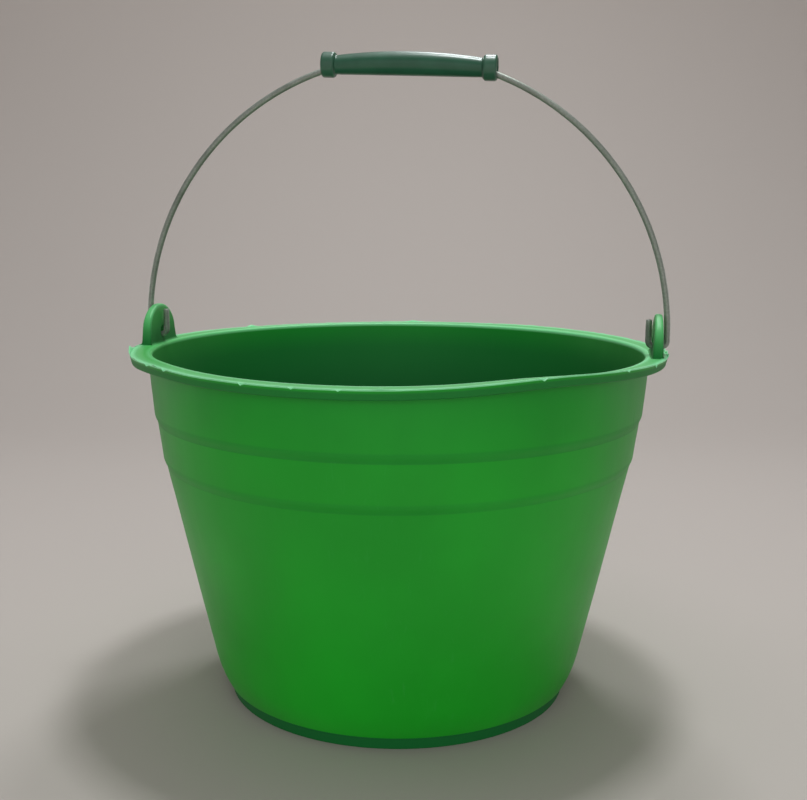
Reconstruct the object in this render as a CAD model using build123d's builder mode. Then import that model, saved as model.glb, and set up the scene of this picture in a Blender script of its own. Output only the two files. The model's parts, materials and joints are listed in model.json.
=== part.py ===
from build123d import *
from math import asin, cos, degrees, hypot, radians, sin, tan
import os

# Plastic bucket with a wire bail and a loose moulded grip, as three separate pieces.
# Millimetres, +Z up, origin on the ground at the middle of the foot ring.
# The two ears stand on the +X and -X sides of the rim, so the bail swings about a line along X.

# ---------------------------------------------------------------- driving dimensions
# bucket: overall form
rim_height = 220.5          # top of the rim flange above the ground
rim_radius = 168.5          # sharp outer edge of the rim flange
mouth_radius = 154.5        # inner wall, carried up to the flange's top face
base_radius = 115.0         # outer wall, carried straight down to its bottom edge
wall = 2.5                  # wall thickness of the lower wall and at the rim
floor_thickness = 2.8

# rim flange and its turned-down skirt
flange_thickness = 2.6
skirt_height = 5.8
skirt_thickness = 2.4
skirt_lean = 1.3            # the skirt's lower edge lies this much further in
mouth_bevel = 2.2           # where the inner wall turns out into the flange

# two proud bands round the top of the wall, each ending below in a soft step
first_step_drop = 40.0      # middle of the upper step, below the rim
second_step_drop = 68.5     # middle of the lower step, below the rim
step_depth = 1.6            # how far a step goes in
step_rise = 3.4             # how much height it takes
top_band_draft = 5.0        # degrees, wall above the upper step
low_band_draft = 6.9        # degrees, wall between the steps

# bottom corner and the recessed foot ring
foot_height = 8.0           # bottom edge of the wall above the ground
foot_inset = 2.6            # the foot ring stands this far inside the wall's bottom edge
foot_thickness = 2.6
foot_draft = 3.0            # degrees
corner_radius = 75.0        # easy curve of the wall just above its bottom edge
corner_turn = 16.0          # degrees that it turns by
inner_corner_bevel = 7.0    # where the floor meets the wall inside

# ears moulded on the flange
ear_setback = 7.4           # middle of the ear's root, in from the rim's edge
ear_root_thickness = 6.4
ear_top_thickness = 4.6
ear_lean = 1.0              # degrees, the ear leans out by this much
ear_height = 25.0           # above the flange
ear_half_width = 23.4       # at the flange
ear_side_draft = 10.0       # degrees, sides lean in towards the top
ear_arch_rise = 17.0        # height of the half-elliptical top
ear_edge_bevel = 0.8
ear_root_sink = 1.2         # how far the ear's root reaches down into the flange
ear_hole_diameter = 8.0
ear_hole_floor = 2.8        # plastic left between the hole and the flange's top

# bail wire
wire_diameter = 3.8
seat_gap = 0.3              # the wire lies this far above the bottom of the ear hole
leg_gap = 0.9               # between the wire's leg and the ear's outer face, at the hinge
stub_gap = 0.45             # between the wire's stub and the ear's inner face, at the hinge
hook_radius = 3.6           # centreline radius of the two bends of a hook
stub_height = 16.6          # turned-up end, above the hinge line
leg_straight = 5.3          # straight run of each leg above the hinge line
exit_slope = 19.6           # degrees, slope of the wire where it leaves the grip

# grip
grip_length = 109.0
grip_tilt = 1.8             # degrees, the grip has slid round the arc towards +X by this much
collar_length = 8.6
collar_diameter = 15.6
collar_bevel = 0.9
barrel_end_diameter = 11.6
barrel_mid_diameter = 14.6
barrel_mid_length = 32.0    # straight middle of the barrel, between two long tapers
bore_diameter = 8.0
bore_gap = 0.3              # the wire's crown lies this far below the top of the bore
mouth_gap = 0.5             # round the wire where the bore opens at each end

# ---------------------------------------------------------------- places worked out from them
wire_radius = wire_diameter / 2
ear_middle = rim_radius - ear_setback
hinge_height = rim_height + ear_hole_floor + seat_gap + wire_radius
arch_half_width = ear_half_width - (ear_height - ear_arch_rise) * tan(radians(ear_side_draft))
root_half_width = ear_half_width + ear_root_sink * tan(radians(ear_side_draft))
hole_height = rim_height + ear_hole_floor + ear_hole_diameter / 2


def taper(radius, drop, draft):
    """Radius of a drafted wall, a drop below the height where it has the given radius."""
    return radius - drop * tan(radians(draft))


def ear_face(side, rise):
    """Distance from Z of the ear's outer face (side 1) or inner face (-1), above the flange."""
    thinning = (ear_root_thickness - ear_top_thickness) * rise / ear_height
    return ear_middle + rise * tan(radians(ear_lean)) + side * (ear_root_thickness - thinning) / 2


leg_offset = ear_face(1, hinge_height - rim_height) + leg_gap + wire_radius
stub_offset = ear_face(-1, hinge_height - rim_height) - stub_gap - wire_radius


# outer wall, from the flange's underside to the bottom edge, as (radius, height)
under_height = rim_height - flange_thickness
first_step = rim_height - first_step_drop
second_step = rim_height - second_step_drop
top_band_head = (mouth_radius + wall, under_height)
top_band_foot = (
    taper(top_band_head[0], under_height - first_step - step_rise / 2, top_band_draft),
    first_step + step_rise / 2,
)
low_band_head = (top_band_foot[0] - step_depth, first_step - step_rise / 2)
low_band_foot = (
    taper(low_band_head[0], first_step - second_step - step_rise, low_band_draft),
    second_step + step_rise / 2,
)
wall_head = (low_band_foot[0] - step_depth, second_step - step_rise / 2)
wall_foot = (base_radius, foot_height)
wall_lean = (wall_head[0] - wall_foot[0]) / (wall_head[1] - wall_foot[1])

# the bulge starts where it leaves the straight wall and brings the bottom edge in
lean_angle = asin(wall_lean / hypot(1, wall_lean))
bulge_turn = radians(corner_turn)
edge_angle = lean_angle + bulge_turn
bulge_height = corner_radius * (sin(edge_angle) - sin(lean_angle))
bulge_start = (wall_foot[0] + wall_lean * bulge_height, foot_height + bulge_height)
edge_point = (
    bulge_start[0] - corner_radius * (cos(lean_angle) - cos(edge_angle)),
    foot_height,
)

# foot ring, floor and inner wall
foot_top_radius = edge_point[0] - foot_inset
foot_bottom_radius = taper(foot_top_radius, foot_height, foot_draft)
floor_top = foot_height + floor_thickness
inner_kink = (wall_head[0] - wall, wall_head[1])
inner_foot_radius = inner_kink[0] - wall_lean * (inner_kink[1] - floor_top)

# ---------------------------------------------------------------- bucket_body
with BuildPart() as bucket_body:
    # half section of the whole moulding, turned about Z
    with BuildSketch(Plane.XZ) as section:
        with BuildLine() as outline:
            Polyline(
                (0, floor_top),
                (inner_foot_radius, floor_top),
                inner_kink,
                (mouth_radius, rim_height),
                (rim_radius, rim_height),
                (rim_radius - skirt_lean, rim_height - skirt_height),
                (rim_radius - skirt_lean - skirt_thickness, rim_height - skirt_height),
                (rim_radius - skirt_thickness, under_height),
                top_band_head,
                top_band_foot,
                low_band_head,
                low_band_foot,
                wall_head,
                bulge_start,
            )
            JernArc(
                start=bulge_start,
                tangent=(-sin(lean_angle), -cos(lean_angle)),
                radius=corner_radius,
                arc_size=-degrees(bulge_turn),
            )
            Polyline(
                edge_point,
                (foot_top_radius, foot_height),
                (foot_bottom_radius, 0),
                (foot_bottom_radius - foot_thickness, 0),
                (foot_bottom_radius - foot_thickness, foot_height),
                (0, foot_height),
                (0, floor_top),
            )
        make_face()

        def corner(radius, height):
            """The section's corner nearest to a place."""
            return section.vertices().sort_by_distance((radius, height))[0]

        chamfer(corner(inner_foot_radius, floor_top), inner_corner_bevel)
        chamfer(corner(mouth_radius, rim_height), mouth_bevel)
    revolve(axis=Axis.Z)

# ear on the +X side: an arch seen from the side, thinner at the top than at its root
with BuildPart() as ear:
    with BuildSketch(Plane.YZ.offset(ear_middle - ear_height)):
        with BuildLine():
            Polyline(
                (arch_half_width, rim_height + ear_height - ear_arch_rise),
                (root_half_width, rim_height - ear_root_sink),
                (-root_half_width, rim_height - ear_root_sink),
                (-arch_half_width, rim_height + ear_height - ear_arch_rise),
            )
            EllipticalCenterArc(
                center=(0, rim_height + ear_height - ear_arch_rise),
                x_radius=arch_half_width,
                y_radius=ear_arch_rise,
                arc_size=180,
            )
        make_face()
    extrude(amount=2 * ear_height)
    with BuildSketch(Plane.XZ):
        Polygon(
            (ear_face(1, -ear_root_sink), rim_height - ear_root_sink),
            (ear_face(1, ear_height), rim_height + ear_height),
            (ear_face(-1, ear_height), rim_height + ear_height),
            (ear_face(-1, -ear_root_sink), rim_height - ear_root_sink),
            align=None,
        )
    extrude(amount=2 * ear_half_width, both=True, mode=Mode.INTERSECT)
    outline_edges = ear.edges().filter_by(
        lambda edge: edge.bounding_box().size.Z > ear_root_sink
    )
    chamfer(outline_edges, ear_edge_bevel)
    with Locations(Plane(origin=(ear_middle, 0, hole_height), z_dir=(1, 0, 0))):
        Cylinder(ear_hole_diameter / 2, 2 * ear_root_thickness, mode=Mode.SUBTRACT)

with bucket_body:
    add(ear.part)
    add(mirror(ear.part, about=Plane.YZ))

bucket_body.part.label = "bucket_body"

# ---------------------------------------------------------------- bail_wire
# Seen from the front, the wire is a chain of tangent arcs worked outward from its crown.
# Inside the grip it is an easy arc that just fits the straight bore, it bends down through the
# grip's flared ends, and from there one large arc on each side runs into a straight leg.
bore_radius = bore_diameter / 2
half_bore = grip_length / 2 - collar_length
crown_rise = bore_radius - wire_radius - bore_gap
crown_drop = 2 * crown_rise
crown_radius = (half_bore**2 + crown_drop**2) / (2 * crown_drop)
crown_slope = asin(half_bore / crown_radius)
exit_angle = radians(exit_slope)
tilt = radians(grip_tilt)
bend_radius = collar_length / (sin(exit_angle) - sin(crown_slope))


class WireSide:
    """One half of the bail, from its crown to the leg on the given side (1 is +X)."""

    def __init__(self, side, crown_x):
        """Work out the big arc and the drop from the crown to the top of the leg."""
        self.side = side
        start = side * tilt
        crown_end = start + crown_slope
        self.exit = start + exit_angle
        reach = crown_radius * (sin(crown_end) - sin(start))
        reach += bend_radius * (sin(self.exit) - sin(crown_end))
        self.arc_radius = (leg_offset - side * crown_x - reach) / (1 - sin(self.exit))
        self.drop = crown_radius * (cos(start) - cos(crown_end))
        self.drop += bend_radius * (cos(crown_end) - cos(self.exit))
        self.drop += self.arc_radius * cos(self.exit)


# the crown has moved round the arc by the tilt, so it stands a little towards +X
crown_x = (leg_offset + crown_rise) * sin(tilt)
right_half = WireSide(1, crown_x)
left_half = WireSide(-1, crown_x)
crown_height = hinge_height + leg_straight + max(right_half.drop, left_half.drop)


def draw_half(half):
    """Draw one half of the wire's centreline, from the crown to the cut end of the stub."""
    side = half.side
    spin = -side
    crown = JernArc(
        start=(crown_x, crown_height),
        tangent=(side * cos(tilt), -side * sin(tilt)),
        radius=crown_radius,
        arc_size=spin * degrees(crown_slope),
    )
    bend = JernArc(
        start=crown @ 1,
        tangent=crown % 1,
        radius=bend_radius,
        arc_size=spin * degrees(exit_angle - crown_slope),
    )
    sweep_arc = JernArc(
        start=bend @ 1,
        tangent=bend % 1,
        radius=half.arc_radius,
        arc_size=spin * (90 - degrees(half.exit)),
    )
    hook_top = hinge_height + hook_radius
    leg = Line(sweep_arc @ 1, (side * leg_offset, hook_top))
    turn_in = JernArc(start=leg @ 1, tangent=(0, -1), radius=hook_radius, arc_size=spin * 90)
    pin = Line(turn_in @ 1, (side * (stub_offset + hook_radius), hinge_height))
    turn_up = JernArc(start=pin @ 1, tangent=(-side, 0), radius=hook_radius, arc_size=spin * 90)
    Line(turn_up @ 1, (side * stub_offset, hinge_height + stub_height))


with BuildPart() as bail_wire:
    with BuildLine(Plane.XZ) as centreline:
        draw_half(left_half)
        draw_half(right_half)
    route = centreline.wire()
    with BuildSketch(Plane(origin=route @ 0, z_dir=route % 0)):
        # a circle, drawn as an ellipse of equal radii: it gives half the facets when swept
        Ellipse(wire_radius, wire_radius)
    sweep(path=route)

bail_wire.part.label = "bail_wire"

# ---------------------------------------------------------------- grip
# A barrel between two collars, turned about the line of its bore. The bore opens at both ends,
# because the wire slopes away there.
grip_axis = Plane(
    origin=(crown_x - crown_rise * sin(tilt), 0, crown_height - crown_rise * cos(tilt)),
    x_dir=(cos(tilt), 0, -sin(tilt)),
    z_dir=(0, -1, 0),
)
half_grip = grip_length / 2
exit_drop = bend_radius * (cos(crown_slope) - cos(exit_angle)) + crown_rise
mouth_radius_of_bore = exit_drop + wire_radius / cos(exit_angle) + mouth_gap

with BuildPart() as grip:
    with BuildSketch(grip_axis) as grip_section:
        with BuildLine():
            Polyline(
                (half_bore, barrel_end_diameter / 2),
                (half_bore, collar_diameter / 2),
                (half_grip, collar_diameter / 2),
                (half_grip, mouth_radius_of_bore),
                (half_bore, bore_radius),
                (-half_bore, bore_radius),
                (-half_grip, mouth_radius_of_bore),
                (-half_grip, collar_diameter / 2),
                (-half_bore, collar_diameter / 2),
                (-half_bore, barrel_end_diameter / 2),
                (-barrel_mid_length / 2, barrel_mid_diameter / 2),
                (barrel_mid_length / 2, barrel_mid_diameter / 2),
                close=True,
            )
        make_face()
        chamfer(grip_section.vertices().group_by(Axis.Y)[-1], collar_bevel)
    revolve(axis=Axis(grip_axis.origin, grip_axis.x_dir))

grip.part.label = "grip"

# ---------------------------------------------------------------- files
os.makedirs("parts", exist_ok=True)
export_step(bucket_body.part, "parts/bucket_body.step")
export_step(bail_wire.part, "parts/bail_wire.step")
export_step(grip.part, "parts/grip.step")
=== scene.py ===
"""A round pail of green moulded plastic, with two ears, a swinging wire bail and a loose grip.

Lengths are in millimetres until a mesh is made, which is in metres. The pail stands at the
origin with its mouth up, the ears lie along X and the front is towards -Y.
"""

import json
import logging
import math
from collections.abc import Callable, Iterable, Mapping, Sequence
from dataclasses import dataclass, field, replace
from enum import Enum
from typing import NamedTuple

import bpy
from mathutils import Matrix, Vector, noise


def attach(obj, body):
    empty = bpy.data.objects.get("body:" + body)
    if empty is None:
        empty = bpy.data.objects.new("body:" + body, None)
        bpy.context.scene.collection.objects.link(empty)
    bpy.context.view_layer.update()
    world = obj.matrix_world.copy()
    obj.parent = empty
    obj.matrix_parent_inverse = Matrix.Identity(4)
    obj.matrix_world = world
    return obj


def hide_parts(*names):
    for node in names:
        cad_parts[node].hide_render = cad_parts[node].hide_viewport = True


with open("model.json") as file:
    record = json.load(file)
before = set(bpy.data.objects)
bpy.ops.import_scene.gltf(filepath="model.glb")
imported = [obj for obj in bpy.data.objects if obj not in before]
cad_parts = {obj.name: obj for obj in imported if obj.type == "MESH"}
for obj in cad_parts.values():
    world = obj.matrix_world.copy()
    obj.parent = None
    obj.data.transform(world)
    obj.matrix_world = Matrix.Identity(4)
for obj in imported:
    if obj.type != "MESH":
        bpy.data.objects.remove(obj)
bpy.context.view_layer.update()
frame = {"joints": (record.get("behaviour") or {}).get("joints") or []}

LOG = logging.getLogger("pail")
MM = 0.001
# pale edges: rubbing, and painted highlight on the pail's lip, flange, ears and flash
WEAR_AND_HIGHLIGHT = "edge_wear_and_highlight"
# painted shade: how much of the deeper shade tone each point gets
PAINTED_SHADE = "painted_shade_mask"

Point = tuple[float, float]
Colour = tuple[float, float, float]


class Body(Enum):
    """The bodies that the pieces ride on."""

    BUCKET = "bucket"
    BAIL = "bail"
    GRIP = "grip"


class Slot(Enum):
    """The record's material slots."""

    PLASTIC = "body_plastic"
    STEEL = "bail_steel"
    GRIP = "grip_plastic"


class Side(Enum):
    """The two sides of the pail, as signs of X."""

    LEFT = -1
    RIGHT = 1


# ---- small helpers


def colour(red: int, green: int, blue: int) -> Colour:
    """Turn a colour given in 0 to 255 display steps into linear light.

    Args:
        red: Display red.
        green: Display green.
        blue: Display blue.

    Returns:
        The colour in linear light.
    """

    def linear(step: int) -> float:
        """One channel in linear light."""
        share = step / 255
        return share / 12.92 if share <= 0.04045 else ((share + 0.055) / 1.055) ** 2.4

    return linear(red), linear(green), linear(blue)


def ease(share: float) -> float:
    """Turn a share from 0 to 1 into one that starts and ends gently."""
    share = min(max(share, 0.0), 1.0)
    return share * share * (3 - 2 * share)


def hump(angle: float, centre: float, width: float) -> float:
    """Height of a smooth hump round a circle.

    Args:
        angle: Where it is read, in degrees.
        centre: Where the hump is highest, in degrees.
        width: Distance from the centre at which it has fallen to about a third, in degrees.

    Returns:
        A value from 0 to 1.
    """
    away = (angle - centre + 180) % 360 - 180
    return math.exp(-((away / width) ** 2))


def waver(seed: float, along: float, pace: float) -> float:
    """Smooth seeded noise between about -1 and 1, at a place along a line."""
    return noise.noise(Vector((along * pace, seed * 7.31, seed * 3.17))) * 1.6


@dataclass(frozen=True)
class Ramp:
    """A gentle rise from 0 at its start to 1 at the end of its run."""

    start: float
    run: float

    def at(self, place: float) -> float:
        """Its height at a place."""
        return ease((place - self.start) / self.run)


@dataclass(frozen=True)
class Swell:
    """A smooth hump round the pail.

    Attributes:
        angle: Its middle, in degrees.
        width: Distance from there at which it has fallen to about a third, in degrees.
        height: How high it is, or how deep if negative.
    """

    angle: float
    width: float
    height: float


def swelling(swells: Iterable[Swell], angle: float) -> float:
    """Add up several humps.

    Args:
        swells: The humps.
        angle: Where they are read, in degrees.

    Returns:
        Their height there.
    """
    height = 0.0
    for swell in swells:
        height += swell.height * hump(angle, swell.angle, swell.width)
    return height


# ---- outlines


@dataclass(frozen=True)
class Corner:
    """A corner of an outline.

    Attributes:
        across: Distance from the axis.
        up: Height, or place along the axis.
        radius: Radius that rounds the corner, or 0 for a sharp one.
        rub_and_highlight: How pale its edge is, from rubbing and painted highlight, from 0 to 1.
        depth: How much painted shade it gets, from 0 to 1.
    """

    across: float
    up: float
    radius: float = 0.0
    rub_and_highlight: float = 0.0
    depth: float = 0.0


class Knot(NamedTuple):
    """One point of a finished outline, with its rubbing and painted highlight, and painted shade.
    """

    across: float
    up: float
    rub_and_highlight: float = 0.0
    depth: float = 0.0


def rounded(corners: Sequence[Corner], longest: float = 6.0) -> list[Knot]:
    """Round an outline's corners and divide its long runs.

    Args:
        corners: The outline's corners in order. The first and last stay as they are.
        longest: Longest straight run between two points.

    Returns:
        The outline's points in order.
    """
    knots = [Knot(corners[0].across, corners[0].up, corners[0].rub_and_highlight, corners[0].depth)]
    for before, corner, after in zip(corners, corners[1:], corners[2:]):
        here = Vector((corner.across, corner.up))
        back = Vector((before.across, before.up)) - here
        ahead = Vector((after.across, after.up)) - here
        turn = math.pi - back.angle(ahead)
        if corner.radius <= 0 or turn < 0.01:
            knots.append(Knot(here.x, here.y, corner.rub_and_highlight, corner.depth))
            continue
        cut = min(corner.radius * math.tan(turn / 2), 0.9 * back.length, 0.9 * ahead.length)
        radius = cut / math.tan(turn / 2)
        start, end = here + back.normalized() * cut, here + ahead.normalized() * cut
        middle = here + (back.normalized() + ahead.normalized()).normalized() * (
            radius / math.cos(turn / 2)
        )
        pieces = max(3, math.ceil(math.degrees(turn) / 9))
        leave, arrive = (start - middle).normalized(), (end - middle).normalized()
        for step in range(pieces + 1):
            place = middle + leave.slerp(arrive, step / pieces) * radius
            knots.append(Knot(place.x, place.y, corner.rub_and_highlight, corner.depth))
    last = corners[-1]
    knots.append(Knot(last.across, last.up, last.rub_and_highlight, last.depth))

    divided = [knots[0]]
    for first, second in zip(knots, knots[1:]):
        length = math.hypot(second.across - first.across, second.up - first.up)
        pieces = max(1, math.ceil(length / longest))
        for step in range(1, pieces + 1):
            share = step / pieces
            between = (start + (end - start) * share for start, end in zip(first, second))
            divided.append(Knot(*between))
    return divided


# ---- meshes


class Piece:
    """A visible piece as it is built: its points, faces, painted light and rubbing, then its
    object.
    """

    def __init__(self, name: str) -> None:
        """Start an empty piece.

        Args:
            name: Its name.
        """
        self.name = name
        self.points: list[Vector] = []
        self.rub_and_highlight: list[float] = []
        self.depth: list[float] = []
        self.faces: list[tuple[int, ...]] = []

    def point(self, place: Vector, rub_and_highlight: float = 0.0, depth: float = 0.0) -> int:
        """Add a point.

        Args:
            place: Where it is.
            rub_and_highlight: How pale it is there, from rubbing and painted highlight, from 0 to
                1.
            depth: How much painted shade it gets, from 0 to 1.

        Returns:
            Its number.
        """
        self.points.append(place)
        self.rub_and_highlight.append(rub_and_highlight)
        self.depth.append(depth)
        return len(self.points) - 1

    def ring(self, places: Iterable[Vector], rub_and_highlight: float = 0.0, depth: float = 0.0) -> list[int]:
        """Add a row of points and return their numbers."""
        return [self.point(place, rub_and_highlight, depth) for place in places]

    def band(self, first: Sequence[int], second: Sequence[int], closed: bool = True) -> None:
        """Join two rows of points by four-sided faces.

        Args:
            first: Numbers of the first row's points.
            second: Numbers of the second row's points.
            closed: Whether the rows run back into their own start.
        """
        count = len(first)
        for here in range(count if closed else count - 1):
            following = (here + 1) % count
            self.faces.append((first[here], first[following], second[following], second[here]))

    def cap(self, ring: Sequence[int], flip: bool = False) -> None:
        """Close a ring with one face."""
        self.faces.append(tuple(reversed(ring)) if flip else tuple(ring))

    def finish(self, body: Body, slot: Slot, material: bpy.types.Material) -> bpy.types.Object:
        """Turn the points and faces into an object that rides on a body.

        Args:
            body: The body that it moves with.
            slot: The record's material slot, which is not used.
            material: Its finish.

        Returns:
            The finished object.
        """
        mesh = bpy.data.meshes.new(self.name)
        mesh.from_pydata([place * MM for place in self.points], [], self.faces)
        mesh.validate()
        for name, values in ((WEAR_AND_HIGHLIGHT, self.rub_and_highlight), (PAINTED_SHADE, self.depth)):
            mesh.attributes.new(name, "FLOAT", "POINT").data.foreach_set("value", values)
        mesh.materials.append(material)
        mesh.shade_smooth()
        thing = bpy.data.objects.new(self.name, mesh)
        bpy.context.scene.collection.objects.link(thing)
        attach(thing, body.value)
        LOG.info("%s: %d faces, rides on %s", self.name, len(self.faces), body.value)
        return thing


def lathe(
    piece: Piece,
    outline: Sequence[Knot],
    steps: int,
    place: Callable[[float, float, float], Vector],
) -> None:
    """Turn an outline round its axis and add it to a piece.

    Args:
        piece: The piece that gets the surface.
        outline: The outline's points. One on the axis makes a pole.
        steps: Number of steps in a full turn.
        place: Gives the point for a distance from the axis, a place along it and an angle.
    """
    rows: list[list[int]] = []
    for knot in outline:
        if knot.across < 1e-6:
            rows.append([piece.point(place(0.0, knot.up, 0.0), knot.rub_and_highlight, knot.depth)])
            continue
        angles = (math.tau * step / steps for step in range(steps))
        spots = (place(knot.across, knot.up, angle) for angle in angles)
        rows.append(piece.ring(spots, knot.rub_and_highlight, knot.depth))
    for first, second in zip(rows, rows[1:]):
        if len(first) == 1 or len(second) == 1:
            pole, ring = (first[0], second) if len(first) == 1 else (second[0], first)
            for here in range(steps):
                corners = (ring[here], ring[(here + 1) % steps], pole)
                piece.faces.append(corners if len(first) == 1 else tuple(reversed(corners)))
        else:
            piece.band(second, first)


# ---- shading


class Shade:
    """A value, vector or colour in a finish, with the operators that are used on it."""

    def __init__(self, recipe: "Recipe", socket: bpy.types.NodeSocket) -> None:
        """Keep the recipe and the socket that carries the value."""
        self.recipe = recipe
        self.socket = socket

    def _math(self, operation: str, first: "Mixable", second: "Mixable") -> "Shade":
        """Add a Math node that works on two values."""
        return self.recipe.node("ShaderNodeMath", {"operation": operation}, {0: first, 1: second})

    def __add__(self, other: "Mixable") -> "Shade":
        """This value and another, added."""
        return self._math("ADD", self, other)

    def __radd__(self, other: "Mixable") -> "Shade":
        """Another value and this one, added."""
        return self._math("ADD", other, self)

    def __mul__(self, other: "Mixable") -> "Shade":
        """This value times another."""
        return self._math("MULTIPLY", self, other)

    def __rmul__(self, other: "Mixable") -> "Shade":
        """Another value times this one."""
        return self._math("MULTIPLY", other, self)


Mixable = Shade | float | Colour


class Recipe:
    """A material and the nodes that make its finish."""

    def __init__(self, name: str) -> None:
        """Start an empty material.

        Args:
            name: Its name.
        """
        self.material = bpy.data.materials.new(name)
        self.material.use_nodes = True
        self.tree = self.material.node_tree
        self.tree.nodes.clear()

    def node(
        self,
        kind: str,
        settings: Mapping[str, object] | None = None,
        inputs: Mapping[int | str, Mixable] | None = None,
        result: int | str = 0,
    ) -> Shade:
        """Add a node, which is how every node of a finish is made.

        Args:
            kind: The node's type.
            settings: Its own settings, which are set first.
            inputs: Values or links of its sockets, by name or number.
            result: Which output to hand back.

        Returns:
            The chosen output, or the first input of a node that has no output.
        """
        added = self.tree.nodes.new(kind)
        for name, value in (settings or {}).items():
            setattr(added, name, value)
        for name, value in (inputs or {}).items():
            socket = added.inputs[name]
            if isinstance(value, Shade):
                self.tree.links.new(value.socket, socket)
            elif isinstance(value, tuple) and len(socket.default_value) == 4:
                socket.default_value = (*value, 1.0)
            else:
                socket.default_value = value
        return Shade(self, added.outputs[result] if added.outputs else added.inputs[0])

    def place(self) -> Shade:
        """Where a point lies on the pail, in metres."""
        return self.node("ShaderNodeTexCoord", result="Object")

    def stretch(self, place: Shade, scale: Colour) -> Shade:
        """Multiply a place by a number along each axis."""
        return self.node(
            "ShaderNodeVectorMath", {"operation": "MULTIPLY"}, {0: place, 1: scale}
        )

    def cloud(self, place: Shade, scale: float, detail: float, swirl: float = 0.0) -> Shade:
        """Soft noise from 0 to 1.

        Args:
            place: Where it is read.
            scale: Number of its waves to a metre of place.
            detail: Number of finer layers.
            swirl: How far it is distorted.

        Returns:
            The noise.
        """
        return self.node(
            "ShaderNodeTexNoise",
            inputs={"Vector": place, "Scale": scale, "Detail": detail, "Distortion": swirl},
        )

    def span(self, value: Shade, low: float, high: float) -> Shade:
        """Bring a value to 0 at one limit and 1 at the other, gently, and hold it outside."""
        return self.node(
            "ShaderNodeMapRange",
            {"interpolation_type": "SMOOTHSTEP"},
            {"Value": value, "From Min": low, "From Max": high},
        )

    def blend(self, amount: Mixable, first: Mixable, second: Mixable) -> Shade:
        """Mix two colours, from the first at 0 to the second at 1."""
        return self.node(
            "ShaderNodeMix", {"data_type": "RGBA"}, {0: amount, 6: first, 7: second}, result=2
        )

    def marked(self, name: str) -> Shade:
        """A value that the mesh carries, such as how much painted shade a point has."""
        return self.node("ShaderNodeAttribute", {"attribute_name": name}, result="Fac")

    def relief(self, height: Shade, depth: float, strength: float) -> Shade:
        """A bumpy surface.

        Args:
            height: The relief, from 0 to 1.
            depth: How deep it is, in millimetres.
            strength: How much of it shows.

        Returns:
            The surface's direction.
        """
        return self.node(
            "ShaderNodeBump",
            inputs={"Height": height, "Distance": depth * MM, "Strength": strength},
        )

    def coat(self, inputs: Mapping[str, Mixable]) -> bpy.types.Material:
        """Finish the material with one shader.

        Args:
            inputs: The values and links of the shader's sockets.

        Returns:
            The material.
        """
        shader = self.node("ShaderNodeBsdfPrincipled", inputs=inputs)
        self.node("ShaderNodeOutputMaterial", inputs={"Surface": shader})
        return self.material


@dataclass(frozen=True)
class PailPlastic:
    """Semi-gloss moulded polypropylene with faint flow lines, scuffs and paler edges.

    The paler edges are partly rubbing and partly painted highlight, and a deeper tone gives
    painted shade in the hollows.
    """

    main: Colour = colour(6, 174, 26)
    deep: Colour = colour(4, 160, 22)
    # painted shade: the deeper bluish tone of the inside, the steps, the foot and the ears' roots
    painted_shade_tone: Colour = colour(1, 104, 42)
    # pale tone of scuffs and rubbing, and of painted highlights on the lip, flange, ears and flash
    pale_wear_and_highlight: Colour = colour(148, 238, 178)
    roughness: float = 0.36
    mottled: float = 0.08
    streamed: float = 0.05
    scuffed: float = 0.12
    hollow: float = 0.24

    def material(self) -> bpy.types.Material:
        """Build the finish.

        Returns:
            The material.
        """
        mix = Recipe("pail_plastic")
        place = mix.place()
        mottle = mix.cloud(place, scale=11.0, detail=3.0)
        upright = mix.stretch(place, (1.0, 1.0, 0.12))
        flow = mix.cloud(upright, scale=85.0, detail=3.0, swirl=0.4)
        grain = mix.cloud(place, scale=1400.0, detail=2.0)
        dents = mix.cloud(place, scale=34.0, detail=2.0)
        drawn_out = mix.stretch(place, (1.0, 1.0, 0.05))
        streaks = mix.cloud(drawn_out, scale=420.0, detail=2.0, swirl=1.2)
        scuffs = mix.span(streaks, 0.63, 0.72) * mix.span(mottle, 0.42, 0.62)
        tone = mix.blend(mix.span(mottle, 0.3, 0.7), self.main, self.deep)
        tone = mix.blend(mix.span(flow, 0.35, 0.75) * 0.16, tone, self.deep)
        # painted shade: the deeper tone where the mesh marks shade
        tone = mix.blend(mix.marked(PAINTED_SHADE), tone, self.painted_shade_tone)
        # pale edges: rubbing and painted highlight
        tone = mix.blend(mix.marked(WEAR_AND_HIGHLIGHT) * 0.85, tone, self.pale_wear_and_highlight)
        tone = mix.blend(scuffs * 0.03, tone, self.pale_wear_and_highlight)
        rough = self.roughness + mottle * self.mottled + flow * self.streamed
        rough = rough + scuffs * self.scuffed + mix.marked(PAINTED_SHADE) * self.hollow
        height = dents * 0.6 + flow * 0.25 + grain * 0.05
        return mix.coat(
            {
                "Base Color": tone,
                "Roughness": rough,
                "Normal": mix.relief(height, depth=0.9, strength=0.35),
                "IOR": 1.49,
                "Specular IOR Level": 0.55,
            }
        )


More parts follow.
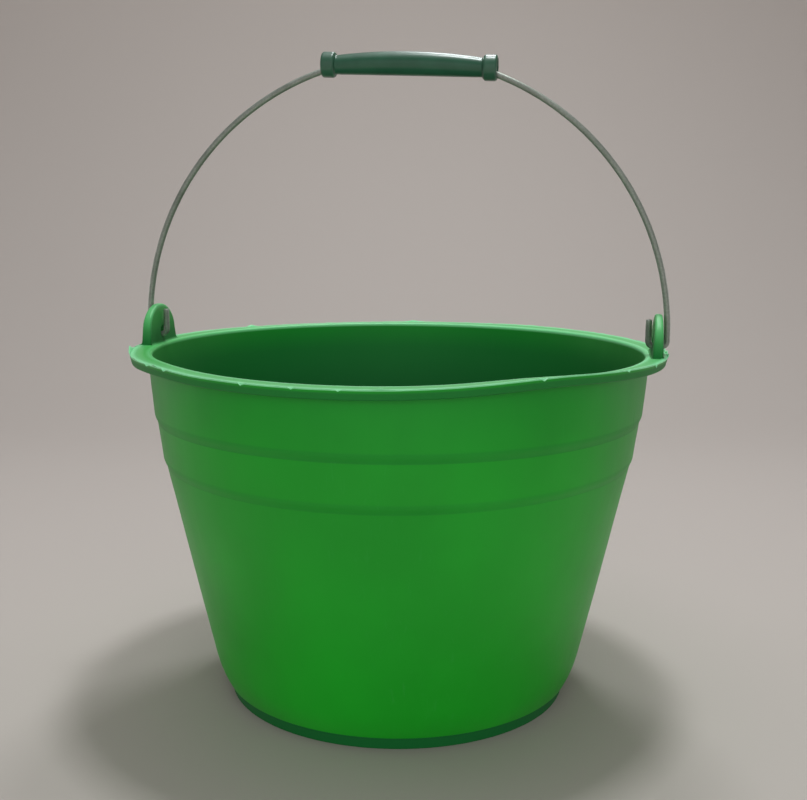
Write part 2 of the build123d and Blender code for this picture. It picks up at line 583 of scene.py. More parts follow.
@dataclass(frozen=True)
class GripPlastic:
    """Glossy dark green plastic, a little cloudy, with fine rubbing along its length."""

    main: Colour = colour(44, 94, 70)
    deep: Colour = colour(37, 85, 62)
    pale_wear_and_highlight: Colour = colour(130, 164, 144)
    roughness: float = 0.29
    mottled: float = 0.06
    scuffed: float = 0.1

    def material(self) -> bpy.types.Material:
        """Build the finish.

        Returns:
            The material.
        """
        mix = Recipe("grip_gloss")
        place = mix.place()
        mottle = mix.cloud(place, scale=60.0, detail=3.0)
        lengthwise = mix.stretch(place, (0.15, 1.0, 1.0))
        rub = mix.cloud(lengthwise, scale=900.0, detail=2.0, swirl=0.6)
        tone = mix.blend(mix.span(mottle, 0.35, 0.7), self.main, self.deep)
        tone = mix.blend(mix.marked(WEAR_AND_HIGHLIGHT) * 0.5, tone, self.pale_wear_and_highlight)
        rough = self.roughness + mottle * self.mottled
        rough = rough + mix.span(rub, 0.55, 0.75) * self.scuffed
        return mix.coat(
            {
                "Base Color": tone,
                "Roughness": rough,
                "Normal": mix.relief(mottle * 0.6 + rub * 0.1, depth=0.25, strength=0.3),
                "IOR": 1.49,
                "Specular IOR Level": 0.7,
            }
        )


@dataclass(frozen=True)
class GalvanisedSteel:
    """Zinc-coated wire, dull and slightly spangled, brighter where it is cut or rubbed."""

    dull: Colour = colour(160, 168, 157)
    bright: Colour = colour(204, 208, 200)
    tarnish: Colour = colour(130, 138, 126)
    metallic: float = 0.7
    roughness: float = 0.38
    spangled: float = 0.14
    stained: float = 0.1

    def material(self) -> bpy.types.Material:
        """Build the finish.

        Returns:
            The material.
        """
        mix = Recipe("galvanised_wire")
        place = mix.place()
        spangle = mix.cloud(place, scale=900.0, detail=3.0, swirl=0.6)
        stain = mix.cloud(place, scale=45.0, detail=3.0)
        tone = mix.blend(mix.span(spangle, 0.3, 0.75) * 0.5, self.dull, self.bright)
        tone = mix.blend(mix.span(stain, 0.45, 0.75) * 0.6, tone, self.tarnish)
        tone = mix.blend(mix.marked(WEAR_AND_HIGHLIGHT), tone, self.bright)
        rough = self.roughness + spangle * self.spangled + stain * self.stained
        return mix.coat(
            {
                "Base Color": tone,
                "Metallic": self.metallic,
                "Roughness": rough,
                "Normal": mix.relief(spangle, depth=0.06, strength=0.3),
            }
        )


@dataclass(frozen=True)
class StudioPaper:
    """The plain pale floor and backdrop."""

    main: Colour = colour(198, 189, 183)

    def material(self) -> bpy.types.Material:
        """Build the finish.

        Returns:
            The material.
        """
        mix = Recipe("studio_paper")
        return mix.coat({"Base Color": self.main, "Roughness": 0.7, "Specular IOR Level": 0.25})


# ---- the bucket


@dataclass
class BucketMoulding:
    """The bucket: a tapered wall with two steps, a flange with a skirt, and a foot ring."""

    finish: bpy.types.Material
    rim_height: float = 220.5
    rim_radius: float = 167.9
    mouth_radius: float = 154.5
    base_radius: float = 115.0
    wall: float = 2.5
    floor_top: float = 10.8
    flange_thickness: float = 2.6
    skirt_height: float = 5.8
    skirt_thickness: float = 2.4
    skirt_lean: float = 1.3
    first_step: float = 180.5
    second_step: float = 152.0
    step_depth: float = 1.6
    step_rise: float = 3.4
    step_round: float = 8.0
    top_band_lean: float = 0.0875
    low_band_lean: float = 0.121
    foot_height: float = 8.0
    foot_inset: float = 2.6
    foot_thickness: float = 2.6
    bulge_radius: float = 75.0
    bulge_turn: float = math.radians(16.0)
    bulge_share: float = 0.93
    hub: float = 6.0
    # how much painted shade the wall gets just above each step, and just below it
    step_shade: Point = (0.26, 0.15)
    band_shade: float = 0.18
    # the warp: humps of the mouth and the flange, then the heights where each part sets in,
    # for the mouth and the skirt from the rim and for the wall from the ground
    mouth_warp: Sequence[Swell] = (
        Swell(-54, 15, 1.9),
        Swell(-97, 26, -0.75),
        Swell(-138, 12, 0.6),
    )
    flange_warp: Sequence[Swell] = (
        Swell(-36, 22, 2.2),
        Swell(-132, 12, 0.5),
        Swell(60, 25, 0.5),
        Swell(118, 30, -0.6),
    )
    flange_ripple: float = 0.15
    mouth_reach: Ramp = Ramp(-35, 30)
    skirt_reach: Ramp = Ramp(-12, 4)
    wall_start: Ramp = Ramp(60, 80)
    upper_end: Ramp = Ramp(185, 10)
    lower_end: Ramp = Ramp(163, 14)
    # how far the steps lie higher at the sides than in front
    upper_lift: Point = (0.7, 0.4)
    lower_lift: float = 1.7
    # how far the rim is out of round
    oval: float = 0.22
    lobes: float = 0.14
    shrink: float = 0.1
    # how far from the mouth the lip goes, and where its painted highlight is fainter
    lip_width: float = 5.0
    fainter_lip_highlight: Swell = Swell(-165, 40, 0.6)
    steps: int = 288

    def outline(self) -> list[Knot]:
        """The half section of the moulding.

        Returns:
            Its points, from the middle of the floor round to the middle of the underside.
        """
        under = self.rim_height - self.flange_thickness
        half = self.step_rise / 2
        head = self.mouth_radius + self.wall
        foot_1 = head - (under - self.first_step - half) * self.top_band_lean
        head_2 = foot_1 - self.step_depth
        foot_2 = (
            head_2
            - (self.first_step - self.second_step - self.step_rise) * self.low_band_lean
        )
        head_3 = foot_2 - self.step_depth
        kink = self.second_step - half
        lean = (head_3 - self.base_radius) / (kink - self.foot_height)
        inner_foot = head_3 - self.wall - lean * (kink - self.floor_top)
        upper, lower = self.step_shade
        corners = [
            # painted shade: the floor and the inside wall get the full deeper tone
            Corner(0, self.floor_top, depth=1),
            Corner(self.hub, self.floor_top, depth=1),
            Corner(inner_foot, self.floor_top, 10, depth=1),
            Corner(head_3 - self.wall, kink, 120, depth=1),
            *self.lip(),
            *self.flange(under, head),
            *self.step(foot_1, self.first_step, self.top_band_lean, self.low_band_lean, upper),
            *self.step(foot_2, self.second_step, self.low_band_lean, lean, lower),
            *self.foot(math.atan(lean), lean),
        ]
        return rounded(corners)

    def lip(self) -> list[Corner]:
        """The mouth's soft edge and the flange's top, with two rings of painted highlight."""
        mouth, rim, top = self.mouth_radius, self.rim_radius, self.rim_height
        return [
            # painted shade inside the mouth
            Corner(mouth - 2.0, top - 18, depth=0.85),
            Corner(mouth - 0.2, top - 2.5, depth=0.55),
            # painted highlight: a pale ring on the mouth's edge and another on the flange's outer
            # edge
            Corner(mouth, top, 1.5, 0.7),
            Corner(mouth + 2.0, top, rub_and_highlight=1.0),
            Corner(mouth + 4.4, top, rub_and_highlight=0.36),
            Corner(rim - 4.0, top, rub_and_highlight=0.4),
            Corner(rim - 2.0, top, rub_and_highlight=0.9),
            Corner(rim, top, 0.5, 1.0),
            # painted shade down the rim's outer edge
            Corner(rim - 0.1, top - 0.7, depth=0.2),
            Corner(rim - 0.5, top - 2.4, depth=0.8),
        ]

    def flange(self, under: float, head: float) -> list[Corner]:
        """The skirt, the flange's underside and the shaded top of the wall.

        Args:
            under: Height of the flange's underside.
            head: The wall's outer radius there.

        Returns:
            The corners from the skirt's foot inwards and down.
        """
        foot = self.rim_height - self.skirt_height
        out = self.rim_radius - self.skirt_lean
        return [
            # painted shade on the skirt, under the flange and down the top of the wall
            Corner(out, foot, 1.2, depth=0.8),
            Corner(out - self.skirt_thickness, foot, 0.6, depth=0.7),
            Corner(self.rim_radius - self.skirt_thickness, under, 0.8, depth=0.8),
            Corner(head, under, 2.5, depth=0.45),
            *(
                Corner(head - down * self.top_band_lean, under - down, depth=depth)
                for down, depth in ((9, 0.4), (13, 0.36))
            ),
        ]

    def foot(self, wall_turn: float, lean: float) -> list[Corner]:
        """The wall's bottom curve, the foot ring and the underside.

        Args:
            wall_turn: The lowest band's angle from upright, in radians.
            lean: The same as a slope, across for each unit up.

        Returns:
            The corners from the curve to the axis.
        """
        edge_turn = wall_turn + self.bulge_turn
        bulge = self.bulge_radius * (math.sin(edge_turn) - math.sin(wall_turn))
        edge = self.base_radius + lean * bulge
        edge -= self.bulge_radius * (math.cos(wall_turn) - math.cos(edge_turn))
        tangent = self.bulge_radius * math.tan(self.bulge_turn / 2)
        ring, level = edge - self.foot_inset, self.foot_height
        return [
            Corner(
                edge + tangent * math.sin(edge_turn),
                level + tangent * math.cos(edge_turn),
                self.bulge_share * self.bulge_radius,
            ),
            Corner(edge, level, 0.8),
            # painted shade in the foot ring's recess and on the underside
            Corner(ring, level, 0.5, depth=1),
            Corner(ring - 0.5, 0, 0.5, depth=1),
            Corner(ring - self.foot_thickness, 0, 0.5, depth=1),
            Corner(ring - self.foot_thickness, level, 1.2, depth=0.6),
            Corner(self.hub, level),
            Corner(0, level),
        ]

    def step(
        self, foot: float, level: float, above: float, below: float, shade: float
    ) -> list[Corner]:
        """The corners of one step in the wall, which gets a little more painted shade than the
        bands.

        Args:
            foot: Distance from the axis where the band above ends.
            level: Height of the step's middle.
            above: Lean of the band above, across for each unit up.
            below: Lean of the band below.
            shade: How much painted shade the wall has just above the step.

        Returns:
            The corners from the top down.
        """
        half, head = self.step_rise / 2, foot - self.step_depth
        up, down = 2.6, 0.8
        # painted shade along the step, deepest at its rounded corners
        return [
            Corner(foot + up * above, level + half + up, depth=shade),
            Corner(foot, level + half, self.step_round, depth=shade + 0.16),
            Corner(head, level - half, 2.0, depth=shade + 0.2),
            Corner(head - down * below, level - half - down, depth=self.band_shade),
        ]

    def sag(self, angle: float, across: float, up: float) -> float:
        """How far the thin moulding has warped up or down.

        Args:
            angle: Place round the pail, in degrees.
            across: Distance from the axis.
            up: Height.

        Returns:
            The height added there.
        """
        from_rim = up - self.rim_height
        edge = ease((across - self.mouth_radius) / (self.rim_radius - self.mouth_radius))
        edge *= self.skirt_reach.at(from_rim)
        upper = self.wall_start.at(up) * (1 - self.upper_end.at(up))
        lower = self.wall_start.at(up) * (1 - self.lower_end.at(up))
        mouth = swelling(self.mouth_warp, angle)
        flange = swelling(self.flange_warp, angle) + self.flange_ripple * waver(2.0, angle, 0.09)
        side = math.cos(math.radians(angle))
        tilt, level = self.upper_lift
        steps = upper * (tilt * side + level) * side + lower * self.lower_lift * side * side
        return self.mouth_reach.at(from_rim) * mouth + edge * flange + steps

    def place(self, across: float, up: float, angle: float) -> Vector:
        """A point of the moulding, a little out of round and warped.

        Args:
            across: Distance from the axis.
            up: Height.
            angle: Place round the pail, in radians.

        Returns:
            The point.
        """
        share = up / self.rim_height
        swell = self.oval * share * math.sin(2 * angle + 0.6)
        swell += self.lobes * share * math.sin(3 * angle)
        radius = across + (swell - self.shrink * share if across > 1 else 0.0)
        level = up + self.sag(math.degrees(angle), across, up)
        return Vector((radius * math.cos(angle), radius * math.sin(angle), level))

    def build(self) -> None:
        """Turn the section round the axis, with fainter painted highlight on the lip's left."""
        piece = Piece("bucket_shell")
        lathe(piece, self.outline(), self.steps, self.place)
        for number, spot in enumerate(piece.points):
            if spot.xy.length < self.mouth_radius + self.lip_width:
                angle = math.degrees(math.atan2(spot.y, spot.x))
                # fainter painted highlight on the lip at the left
                piece.rub_and_highlight[number] *= 1 - swelling((self.fainter_lip_highlight,), angle)
        shell = piece.finish(Body.BUCKET, Slot.PLASTIC, self.finish)
        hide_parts("bucket_body")


@dataclass
class Ear:
    """An arched plate on the flange, thinner at its top, with the hole that the wire turns in."""

    finish: bpy.types.Material
    bucket: BucketMoulding
    side: Side
    middle: float = 161.1
    root_thickness: float = 6.4
    top_thickness: float = 4.6
    lean: float = math.radians(1.0)
    half_width: float = 23.4
    height: float = 25.0
    arch_rise: float = 17.0
    side_draft: float = math.radians(10.0)
    root: float = 1.2
    hole_radius: float = 4.0
    hole_up: float = 6.8
    edge_round: float = 1.5
    hole_round: float = 0.5
    # how pale the edges, the hole and the faces are, from rubbing and painted highlight
    edge_wear_and_highlight: float = 0.36
    hole_wear_and_highlight: float = 0.25
    face_wear_and_highlight: float = 0.12
    # painted shade at the root, fading towards the top, where the painted highlight is strongest
    root_shade: float = 0.95
    shade_fall: float = 0.75
    shade_height: float = 0.85
    cove_radius: float = 1.6
    cove_sink: Point = (0.1, 0.02)
    arch_steps: int = 72

    def outline(self) -> list[Point]:
        """The plate's edge seen along X.

        Returns:
            Its points counter-clockwise from the foot, with heights above the flange.
        """
        spring, draft = self.height - self.arch_rise, math.tan(self.side_draft)
        half = self.half_width - spring * draft
        side = [(self.half_width - up * draft, up) for up in (-self.root, 0.0, 2.0, 4.0, 6.0)]
        arch = []
        for step in range(self.arch_steps + 1):
            turn = math.pi * step / self.arch_steps
            arch.append((half * math.cos(turn), spring + self.arch_rise * math.sin(turn)))
        foot = [(self.half_width * share, -self.root) for share in (-0.6, -0.2, 0.2, 0.6)]
        return [*side, *arch, *((-across, up) for across, up in reversed(side)), *foot]

    def rows(self) -> list[tuple[float, float, int, float, float]]:
        """Rows round the plate's section.

        Returns:
            For each row the share of the way from the hole to the edge, a distance added to it,
            the face (1 out, -1 in), its distance in from that face, and how pale it is, from
            rubbing and painted highlight.
        """
        soft, rim, flat = self.edge_round, self.hole_round, self.face_wear_and_highlight
        arc = [math.pi / 2 * step / 5 for step in range(6)]
        edge = [
            (1.0, soft * (math.sin(turn) - 1), 1, soft * (1 - math.cos(turn)), self.edge_wear_and_highlight)
            for turn in arc
        ]
        hole = [
            (0.0, rim * (1 - math.sin(turn)), 1, rim * (1 - math.cos(turn)), self.hole_wear_and_highlight)
            for turn in arc
        ]
        front = [(0.5, 0.0, 1, 0.0, flat), (1.0, -soft - 0.8, 1, 0.0, flat), *edge]
        back = [(share, more, -1, inset, rub_and_highlight) for share, more, _, inset, rub_and_highlight in front[::-1]]
        bore = [(share, more, -1, inset, rub_and_highlight) for share, more, _, inset, rub_and_highlight in hole]
        return [*front, *back, *bore, *reversed(hole)]

    def face(self, side: int, up: float) -> float:
        """Find one face of the plate.

        Args:
            side: 1 for the face that looks outward, -1 for the other.
            up: Height above the flange.

        Returns:
            The face's distance from the pail's middle at that height.
        """
        thinning = (self.root_thickness - self.top_thickness) * up / self.height
        half = (self.root_thickness - thinning) / 2
        return self.middle + up * math.tan(self.lean) + side * half

    def build(self) -> None:
        """Make the plate and the small coves along its root."""
        piece = Piece(f"ear_{self.side.name.lower()}")
        sign = self.side.value
        base = self.bucket.rim_height
        centre = Vector((0.0, self.hole_up))
        rings = []
        for share, more, side, inset, rub_and_highlight in self.rows():
            ring = []
            for across, up in self.outline():
                edge = Vector((across, up))
                way = (edge - centre).normalized()
                hole = centre + way * self.hole_radius
                spot = hole.lerp(edge, share) + way * more
                flat = self.face(side, spot.y) - side * inset
                # painted light: paler towards the top, with painted shade at the root
                lit = ease(spot.y / (self.shade_height * self.height))
                place = Vector((sign * flat, spot.x * sign, base + spot.y))
                ring.append(piece.point(place, rub_and_highlight * lit, self.root_shade - self.shade_fall * lit))
            rings.append(ring)
        for first, second in zip(rings, rings[1:] + rings[:1]):
            piece.band(second, first)
        for side in (1, -1):
            self.cove(piece, side)
        piece.finish(Body.BUCKET, Slot.PLASTIC, self.finish)

    def cove(self, piece: Piece, face: int) -> None:
        """Add the fillet between one face of the plate and the flange.

        Args:
            piece: The ear's piece.
            face: 1 for the face that looks outward, -1 for the other.
        """
        sign, base, radius = self.side.value, self.bucket.rim_height, self.cove_radius
        flat = sign * self.face(face, 0.0)
        out = sign * face
        inset, sunk = self.cove_sink
        rows = []
        for step in range(7):
            turn = math.pi / 2 * step / 6
            away = radius * (1 - math.cos(turn)) - inset
            up = radius * (1 - math.sin(turn)) - sunk
            lit = ease(away / radius)
            spots = (
                Vector((flat + out * away, self.half_width * share, base + up))
                for share in (-0.96, -0.9, -0.45, 0.0, 0.45, 0.9, 0.96)
            )
            # painted shade deepest against the plate, giving way to the flange's painted highlight
            rows.append(piece.ring(spots, 0.2 * lit, 0.9 - 0.6 * lit))
        for first, second in zip(rows, rows[1:]):
            pair = (second, first) if out > 0 else (first, second)
            piece.band(*pair, closed=False)


@dataclass(frozen=True)
class Nib:
    """A torn bit of flash on the rim.

    Attributes:
        angle: Place round the rim, in degrees.
        width: Half its width, in degrees.
        reach: How far it stands out.
        lift: How far its tip goes up, or down if negative.
    """

    angle: float
    width: float
    reach: float
    lift: float


@dataclass
class RimFlash:
    """The thin ragged fin that the mould's joint left along the flange's outer edge."""

    finish: bpy.types.Material
    bucket: BucketMoulding
    limit: float = 168.45
    nibs: Sequence[Nib] = (
        Nib(-162, 3.0, 0.5, 3.0),
        Nib(-154, 4.0, 0.5, 1.6),
        Nib(-146.5, 2.2, 0.5, 0.9),
        Nib(-137.5, 0.8, 0.4, -1.0),
        Nib(-134.0, 0.8, 0.4, 1.0),
        Nib(-130.0, 0.6, 0.5, -1.2),
        Nib(-109.0, 0.45, 0.5, -1.2),
        Nib(-99.0, 0.35, 0.4, -1.0),
        Nib(-90.5, 0.4, 0.4, -0.9),
        Nib(-83.2, 1.2, 0.4, 0.7),
        Nib(-53.8, 0.5, 0.5, -1.1),
        Nib(-31.8, 0.5, 0.4, -1.1),
        Nib(-19.2, 0.5, 0.5, -1.8),
        Nib(-2.0, 1.6, 0.5, 1.2),
        Nib(3.3, 1.2, 0.5, 1.8),
        Nib(7.5, 1.4, 0.5, 2.4),
        Nib(96, 1.5, 0.4, 0.8),
        Nib(141, 1.0, 0.4, 1.2),
    )
    # how far out and up the fin stands at least, and how much more where it is ragged
    least: Point = (0.1, 0.04)
    ragged: Point = (0.24, 0.22)
    bite: float = 0.75
    thickness: float = 0.1
    steps: int = 1440

    def tip(self, angle: float) -> Point:
        """Find the fin's torn edge.

        Args:
            angle: Place round the rim, in degrees.

        Returns:
            How far out and up the edge stands there.
        """
        torn = max(0.5 + 0.5 * waver(5.0, angle, 0.55) + 0.3 * waver(9.0, angle, 2.3), 0.0)
        out, up = (least + more * torn for least, more in zip(self.least, self.ragged))
        for nib in self.nibs:
            share = hump(angle, nib.angle, nib.width)
            out += share * nib.reach
            up += share * nib.lift
        return out, up

    def build(self) -> None:
        """Make the fin as a thin closed ribbon."""
        piece = Piece("rim_flash")
        radius, height = self.bucket.rim_radius, self.bucket.rim_height
        rows: list[list[Vector]] = [[], [], [], []]
        for step in range(self.steps):
            angle = math.tau * step / self.steps
            degrees = math.degrees(angle)
            out, up = self.tip(degrees if degrees < 180 else degrees - 360)
            spread, tip = min(radius + out, self.limit), height + up
            section = (
                (radius - self.bite, height - 0.04),
                (spread - self.thickness, tip),
                (spread, tip - self.thickness + 0.2 * min(0.0, up)),
                (radius - 0.28, height - self.bite),
            )
            for row, (across, level) in zip(rows, section):
                row.append(self.bucket.place(across, level, angle))
        # painted light: the whole thin fin is made pale, as if lit through
        rings = [piece.ring(row, 1.0) for row in rows]
        for first, second in zip(rings, rings[1:] + rings[:1]):
            piece.band(first, second)
        piece.finish(Body.BUCKET, Slot.PLASTIC, self.finish)


# ---- the bail


class Track:
    """A flat chain of tangent arcs and straight runs, drawn from a start in the XZ plane."""

    def __init__(self, start: Vector, heading: float, spin: int) -> None:
        """Start the chain.

        Args:
            start: The first point.
            heading: Its direction, in radians from +X towards +Z.
            spin: 1 if the arcs turn to the left, -1 if to the right.
        """
        self.points = [start]
        self.heading = heading
        self.spin = spin

    def run(self, length: float, longest: float = 3.0) -> None:
        """Go straight on.

        Args:
            length: How far.
            longest: Longest step along it.
        """
        start = self.points[-1]
        way = Vector((math.cos(self.heading), math.sin(self.heading)))
        pieces = max(1, math.ceil(length / longest))
        self.points += [start + way * (length * step / pieces) for step in range(1, pieces + 1)]

    def bend(self, radius: float, turn: float, longest: float = 3.0) -> None:
        """Go round an arc.

        Args:
            radius: The arc's radius.
            turn: How far it turns, in radians.
            longest: Longest step along it.
        """
        start = self.points[-1]
        left = Vector((-math.sin(self.heading), math.cos(self.heading))) * self.spin
        middle = start + left * radius
        pieces = max(3, math.ceil(radius * turn / longest), math.ceil(turn / math.radians(9)))
        for step in range(1, pieces + 1):
            part = self.spin * turn * step / pieces
            self.points.append(middle - Matrix.Rotation(part, 2) @ (left * radius))
        self.heading += self.spin * turn


@dataclass
class BailWire:
    """The steel wire: an arc through the grip, down to a hook through each ear.

    The rings of a cut end are each a distance back from it, a share of the radius and a wear.
    """

    finish: bpy.types.Material
    hinge_height: float
    tilt: float
    leg_offset: float = 167.007
    stub_offset: float = 155.817
    radius: float = 1.9
    hook_radius: float = 3.6
    stub_height: float = 16.6
    leg_straight: float = 5.3
    half_bore: float = 45.9
    crown_rise: float = 1.8
    collar: float = 8.6
    exit_slope: float = math.radians(19.6)
    cut_end: Sequence[tuple[float, float, float]] = (
        (0.0, 0.72, 0.9),
        (0.12, 0.9, 0.6),
        (0.4, 1.0, 0.1),
    )
    sides: int = 20

    def __post_init__(self) -> None:
        """Work out the arcs inside the grip."""
        drop = 2 * self.crown_rise
        self.crown_radius = (self.half_bore**2 + drop**2) / (2 * drop)
        self.crown_slope = math.asin(self.half_bore / self.crown_radius)
        self.bend_radius = self.collar / (math.sin(self.exit_slope) - math.sin(self.crown_slope))
        self.crown_x = (self.leg_offset + self.crown_rise) * math.sin(self.tilt)

    def reach(self, side: Side) -> tuple[float, float]:
        """Fit the big arc of one side between the grip and the leg.

        Args:
            side: The side.

        Returns:
            The arc's radius, and the drop from the crown to the leg's top.
        """
        start = side.value * self.tilt
        crown_end, leave = start + self.crown_slope, start + self.exit_slope
        across = self.crown_radius * (math.sin(crown_end) - math.sin(start))
        across += self.bend_radius * (math.sin(leave) - math.sin(crown_end))
        arc = (self.leg_offset - side.value * self.crown_x - across) / (1 - math.sin(leave))
        drop = self.crown_radius * (math.cos(start) - math.cos(crown_end))
        drop += self.bend_radius * (math.cos(crown_end) - math.cos(leave))
        return arc, drop + arc * math.cos(leave)

    def half(self, side: Side, crown: Vector) -> list[Vector]:
        """Draw the centreline of one half.

        Args:
            side: The half's side.
            crown: Where it starts, at the wire's highest place.

        Returns:
            Its points from the crown to the stub's cut end.
        """
        arc, drop = self.reach(side)
        heading = -self.tilt if side is Side.RIGHT else math.pi - self.tilt
        track = Track(crown, heading, -side.value)
        track.bend(self.crown_radius, self.crown_slope)
        track.bend(self.bend_radius, self.exit_slope - self.crown_slope, longest=1.5)
        track.bend(arc, math.pi / 2 - self.exit_slope - side.value * self.tilt)
        top = crown.y - drop
        track.run(top - self.hinge_height - self.hook_radius)
        track.bend(self.hook_radius, math.pi / 2, longest=0.6)
        track.run(self.leg_offset - self.stub_offset - 2 * self.hook_radius, longest=1.0)
        track.bend(self.hook_radius, math.pi / 2, longest=0.6)
        track.run(self.stub_height - self.hook_radius)
        return track.points

    def section(self, place: Vector, way: Vector, radius: float) -> list[Vector]:
        """Draw a circle round the centreline.

        Args:
            place: Its middle.
            way: The centreline's direction there.
            radius: The circle's radius.

        Returns:
            Its points.
        """
        normal = Vector((-way.y, way.x))
        ring = []
        for step in range(self.sides):
            turn = math.tau * step / self.sides
            off = normal * (radius * math.cos(turn))
            ring.append(Vector((place.x + off.x, radius * math.sin(turn), place.y + off.y)))
        return ring

    def build(self) -> None:
        """Make the wire as one round tube with cut ends."""
        tops = {side: self.reach(side)[1] for side in Side}
        crown = Vector(
            (self.crown_x, self.hinge_height + self.leg_straight + max(tops.values()))
        )
        left, right = self.half(Side.LEFT, crown), self.half(Side.RIGHT, crown)
        line = [*reversed(left), *right[1:]]
        piece = Piece("bail_hoop")
        rings = []
        for number, place in enumerate(line):
            before, after = line[max(number - 1, 0)], line[min(number + 1, len(line) - 1)]
            way = (after - before).normalized()
            if number in (0, len(line) - 1):
                inward = way if number == 0 else -way
                cut = self.cut_end if number == 0 else self.cut_end[::-1]
                for back, share, rub_and_highlight in cut:
                    spot = self.section(place + inward * back, way, self.radius * share)
                    rings.append(piece.ring(spot, rub_and_highlight))
                continue
            rings.append(piece.ring(self.section(place, way, self.radius)))
        for first, second in zip(rings, rings[1:]):
            piece.band(first, second)
        piece.cap(rings[0])
        piece.cap(rings[-1], flip=True)
        hoop = piece.finish(Body.BAIL, Slot.STEEL, self.finish)
        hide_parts("bail_wire")


@dataclass
class GripTube:
    """The loose grip: a swelling barrel between two collars, a little bowed."""

    finish: bpy.types.Material
    middle: Vector
    tilt: float
    half_length: float = 54.5
    collar: float = 8.6
    collar_radius: float = 7.8
    collar_round: float = 2.2
    end_radius: float = 5.8
    mid_radius: float = 7.3
    bore_radius: float = 4.0
    mouth_radius: float = 6.5
    bow: float = 1.6
    neck: float = 1.5
    bore_swell: float = 1.7
    barrel_steps: int = 40
    bore_steps: int = 16
    steps: int = 64

    def swell(self, along: float) -> float:
        """Share of the barrel's full swelling at a place along it."""
        half = self.half_length - self.collar
        return max(0.0, 1 - (along / half) ** 2)

    def outline(self) -> list[Knot]:
        """The section of the tube's wall.

        Returns:
            Its points from one bore mouth round the outside to the other and back inside.
        """
        end, half = self.half_length, self.half_length - self.collar
        outside = rounded(
            [
                Corner(self.mouth_radius - 0.4, -end, 0, 0.1),
                Corner(self.collar_radius, -end, self.collar_round, 0.15),
                Corner(self.collar_radius, -half, self.collar_round, 0.15),
                Corner(self.end_radius, -half, 1.0),
                Corner(self.end_radius, -half + self.neck),
            ],
            longest=2.5,
        )
        barrel = []
        for step in range(1, self.barrel_steps):
            along = (half - self.neck) * (2 * step / self.barrel_steps - 1)
            radius = self.end_radius + (self.mid_radius - self.end_radius) * self.swell(along)
            barrel.append(Knot(radius, along))
        mirrored = [Knot(knot.across, -knot.up, knot.rub_and_highlight) for knot in reversed(outside)]
        inside = [Knot(self.bore_radius, half)]
        for step in range(1, self.bore_steps):
            along = half * (1 - 2 * step / self.bore_steps)
            inside.append(Knot(self.bore_radius + self.bore_swell * self.swell(along), along))
        inside.append(Knot(self.bore_radius, -half))
        return [*outside, *barrel, *mirrored, *inside, outside[0]]

    def place(self, across: float, along: float, angle: float) -> Vector:
        """A point of the grip, with its bow and its slope on the bail.

        Args:
            across: Distance from the grip's axis.
            along: Place along it, from the middle.
            angle: Turn about it, in radians.

        Returns:
            The point.
        """
        up = across * math.cos(angle) + self.bow * self.swell(along)
        cos, sin = math.cos(self.tilt), math.sin(self.tilt)
        return self.middle + Vector(
            (along * cos + up * sin, -across * math.sin(angle), up * cos - along * sin)
        )

    def build(self) -> None:
        """Turn the section round the bowed axis."""
        piece = Piece("grip_tube")
        lathe(piece, self.outline(), self.steps, self.place)
        tube = piece.finish(Body.GRIP, Slot.GRIP, self.finish)
        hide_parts("grip")


# ---- the studio


@dataclass(frozen=True)
class Softbox:
    """A large soft lamp.

    Attributes:
        name: Its name.
        place: Where it hangs, in metres.
        size: Its width and depth, in metres.
        power: In watts.
        tint: Its colour.
        mirrored: Whether it shows in glossy surfaces.
    """

    name: str
    place: tuple[float, float, float]
    size: Point
    power: float
    tint: Colour = (1.0, 1.0, 1.0)
    mirrored: bool = True

    def hang(self, target: Vector) -> None:
        """Hang the lamp.

        Args:
            target: The place that it faces.
        """
        lamp = bpy.data.lights.new(self.name, "AREA")
        lamp.shape = "RECTANGLE"
        lamp.size, lamp.size_y = self.size
        lamp.energy = self.power
        lamp.color = self.tint
        thing = bpy.data.objects.new(self.name, lamp)
        thing.location = self.place
        thing.visible_camera = False
        thing.visible_glossy = self.mirrored
        thing.rotation_euler = (target - Vector(self.place)).to_track_quat("-Z", "Y").to_euler()
        bpy.context.scene.collection.objects.link(thing)


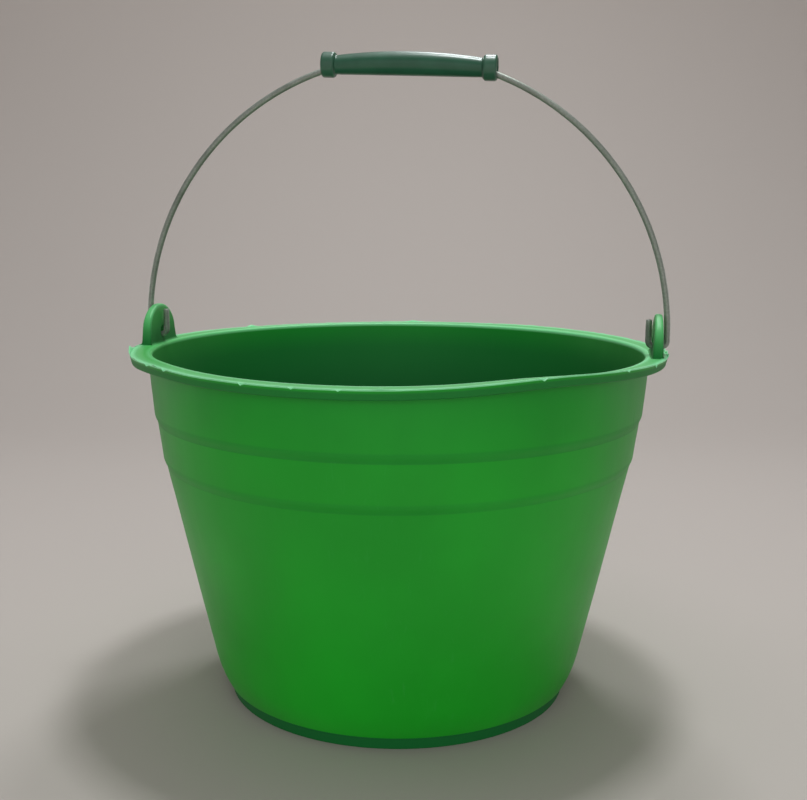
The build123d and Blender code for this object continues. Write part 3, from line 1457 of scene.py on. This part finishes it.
@dataclass
class Studio:
    """The floor, the lamps and the camera."""

    paper: bpy.types.Material
    camera_distance: float = 730.9
    camera_height: float = 311.2
    pail_turn: float = math.radians(9.9)
    aside: float = math.radians(0.24)
    pitch: float = math.radians(9.68)
    roll: float = math.radians(0.35)
    lens: float = 51.3
    ambient: float = 0.15
    target: tuple[float, float, float] = (0.0, 0.0, 0.12)
    lamps: Sequence[Softbox] = field(
        default_factory=lambda: (
            Softbox("ceiling", (0.1, 0.1, 1.6), (0.2, 0.2), 8.2, (0.94, 0.98, 1.0)),
            Softbox("glow", (-0.1, 0.1, 1.6), (1.5, 1.2), 4.4, (0.96, 0.98, 1.0)),
            Softbox("rear", (0.14, 0.85, 1.45), (0.3, 0.15), 6.0, (0.94, 0.98, 1.0)),
            Softbox("left", (-1.6, 0.75, 0.25), (1.2, 0.4), 2.8),
            Softbox("right", (1.6, 0.75, 0.25), (1.2, 0.4), 2.4),
            Softbox("fill", (0.0, -2.1, 0.55), (3.2, 1.0), 18.4, mirrored=False),
            Softbox("front", (0.0, -1.9, 0.8), (2.4, 1.2), 2.8),
        )
    )

    def lay_paper(self) -> None:
        """Lay the floor and curve it up behind the pail."""
        mesh = bpy.data.meshes.new("paper_sweep")
        half, front, back, radius, top, bends = 4.0, -4.0, 1.6, 0.8, 4.0, 12
        section = [(front, 0.0), (back - radius, 0.0)]
        for step in range(1, bends + 1):
            turn = math.pi / 2 * step / bends
            section.append(
                (back - radius + radius * math.sin(turn), radius * (1 - math.cos(turn)))
            )
        section.append((back, top))
        points = [(side * half, y, z) for y, z in section for side in (-1, 1)]
        faces = [(2 * n, 2 * n + 1, 2 * n + 3, 2 * n + 2) for n in range(len(section) - 1)]
        mesh.from_pydata(points, [], faces)
        mesh.shade_smooth()
        mesh.materials.append(self.paper)
        thing = bpy.data.objects.new("paper_sweep", mesh)
        thing.rotation_euler = (0.0, 0.0, self.pail_turn)
        bpy.context.scene.collection.objects.link(thing)

    def light(self) -> None:
        """Hang the lamps and set the even light from all round."""
        world = bpy.data.worlds.new("studio_air")
        world.use_nodes = True
        air = world.node_tree.nodes["Background"]
        air.inputs["Color"].default_value = (1.0, 1.0, 1.0, 1.0)
        air.inputs["Strength"].default_value = self.ambient
        bpy.context.scene.world = world
        turn = Matrix.Rotation(self.pail_turn, 3, "Z")
        for lamp in self.lamps:
            turned = replace(lamp, place=tuple(turn @ Vector(lamp.place)))
            turned.hang(Vector(self.target))

    def stand_camera(self) -> None:
        """Stand the camera in front of the pail, level with its eye line."""
        turn = Matrix.Rotation(self.pail_turn, 3, "Z")
        ahead = turn @ Vector(
            (
                math.sin(self.aside) * math.cos(self.pitch),
                math.cos(self.aside) * math.cos(self.pitch),
                -math.sin(self.pitch),
            )
        )
        right = turn @ Vector((math.cos(self.aside), -math.sin(self.aside), 0.0))
        up = right.cross(ahead)
        cos, sin = math.cos(self.roll), math.sin(self.roll)
        axes = Matrix((right * cos + up * sin, up * cos - right * sin, -ahead)).transposed()
        lens = bpy.data.cameras.new("camera")
        lens.lens = self.lens
        lens.sensor_width = 36.0
        lens.clip_start = 0.01
        thing = bpy.data.objects.new("camera", lens)
        place = turn @ Vector((0.0, -self.camera_distance, self.camera_height))
        thing.matrix_world = Matrix.Translation(place * MM) @ axes.to_4x4()
        bpy.context.scene.collection.objects.link(thing)
        bpy.context.scene.camera = thing

    def build(self) -> None:
        """Set up the whole studio."""
        self.lay_paper()
        self.light()
        self.stand_camera()
        bpy.context.scene.view_settings.view_transform = "Standard"


# ---- all of it


def joint(name: str) -> dict:
    """The frame's joint with this name."""
    return next(found for found in frame["joints"] if found["name"] == name)


def note_size() -> None:
    """Bring the scene's placements up to date."""
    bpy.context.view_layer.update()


def main() -> None:
    """Build the studio and then the pail, piece by piece."""
    logging.basicConfig(level=logging.INFO, format="%(name)s: %(message)s")
    Studio(StudioPaper().material()).build()

    plastic = PailPlastic().material()
    bucket = BucketMoulding(plastic)
    bucket.build()
    for side in Side:
        Ear(plastic, bucket, side).build()
    RimFlash(plastic, bucket).build()

    swing, spin = joint("bail_swing"), joint("grip_spin")
    axis = Vector(spin["axis"])
    tilt = math.atan2(-axis.z, axis.x)
    BailWire(GalvanisedSteel().material(), swing["pos_m"][2] / MM, tilt).build()
    GripTube(GripPlastic().material(), Vector(spin["pos_m"]) / MM, tilt).build()
    note_size()


if __name__ == "__main__":
    main()
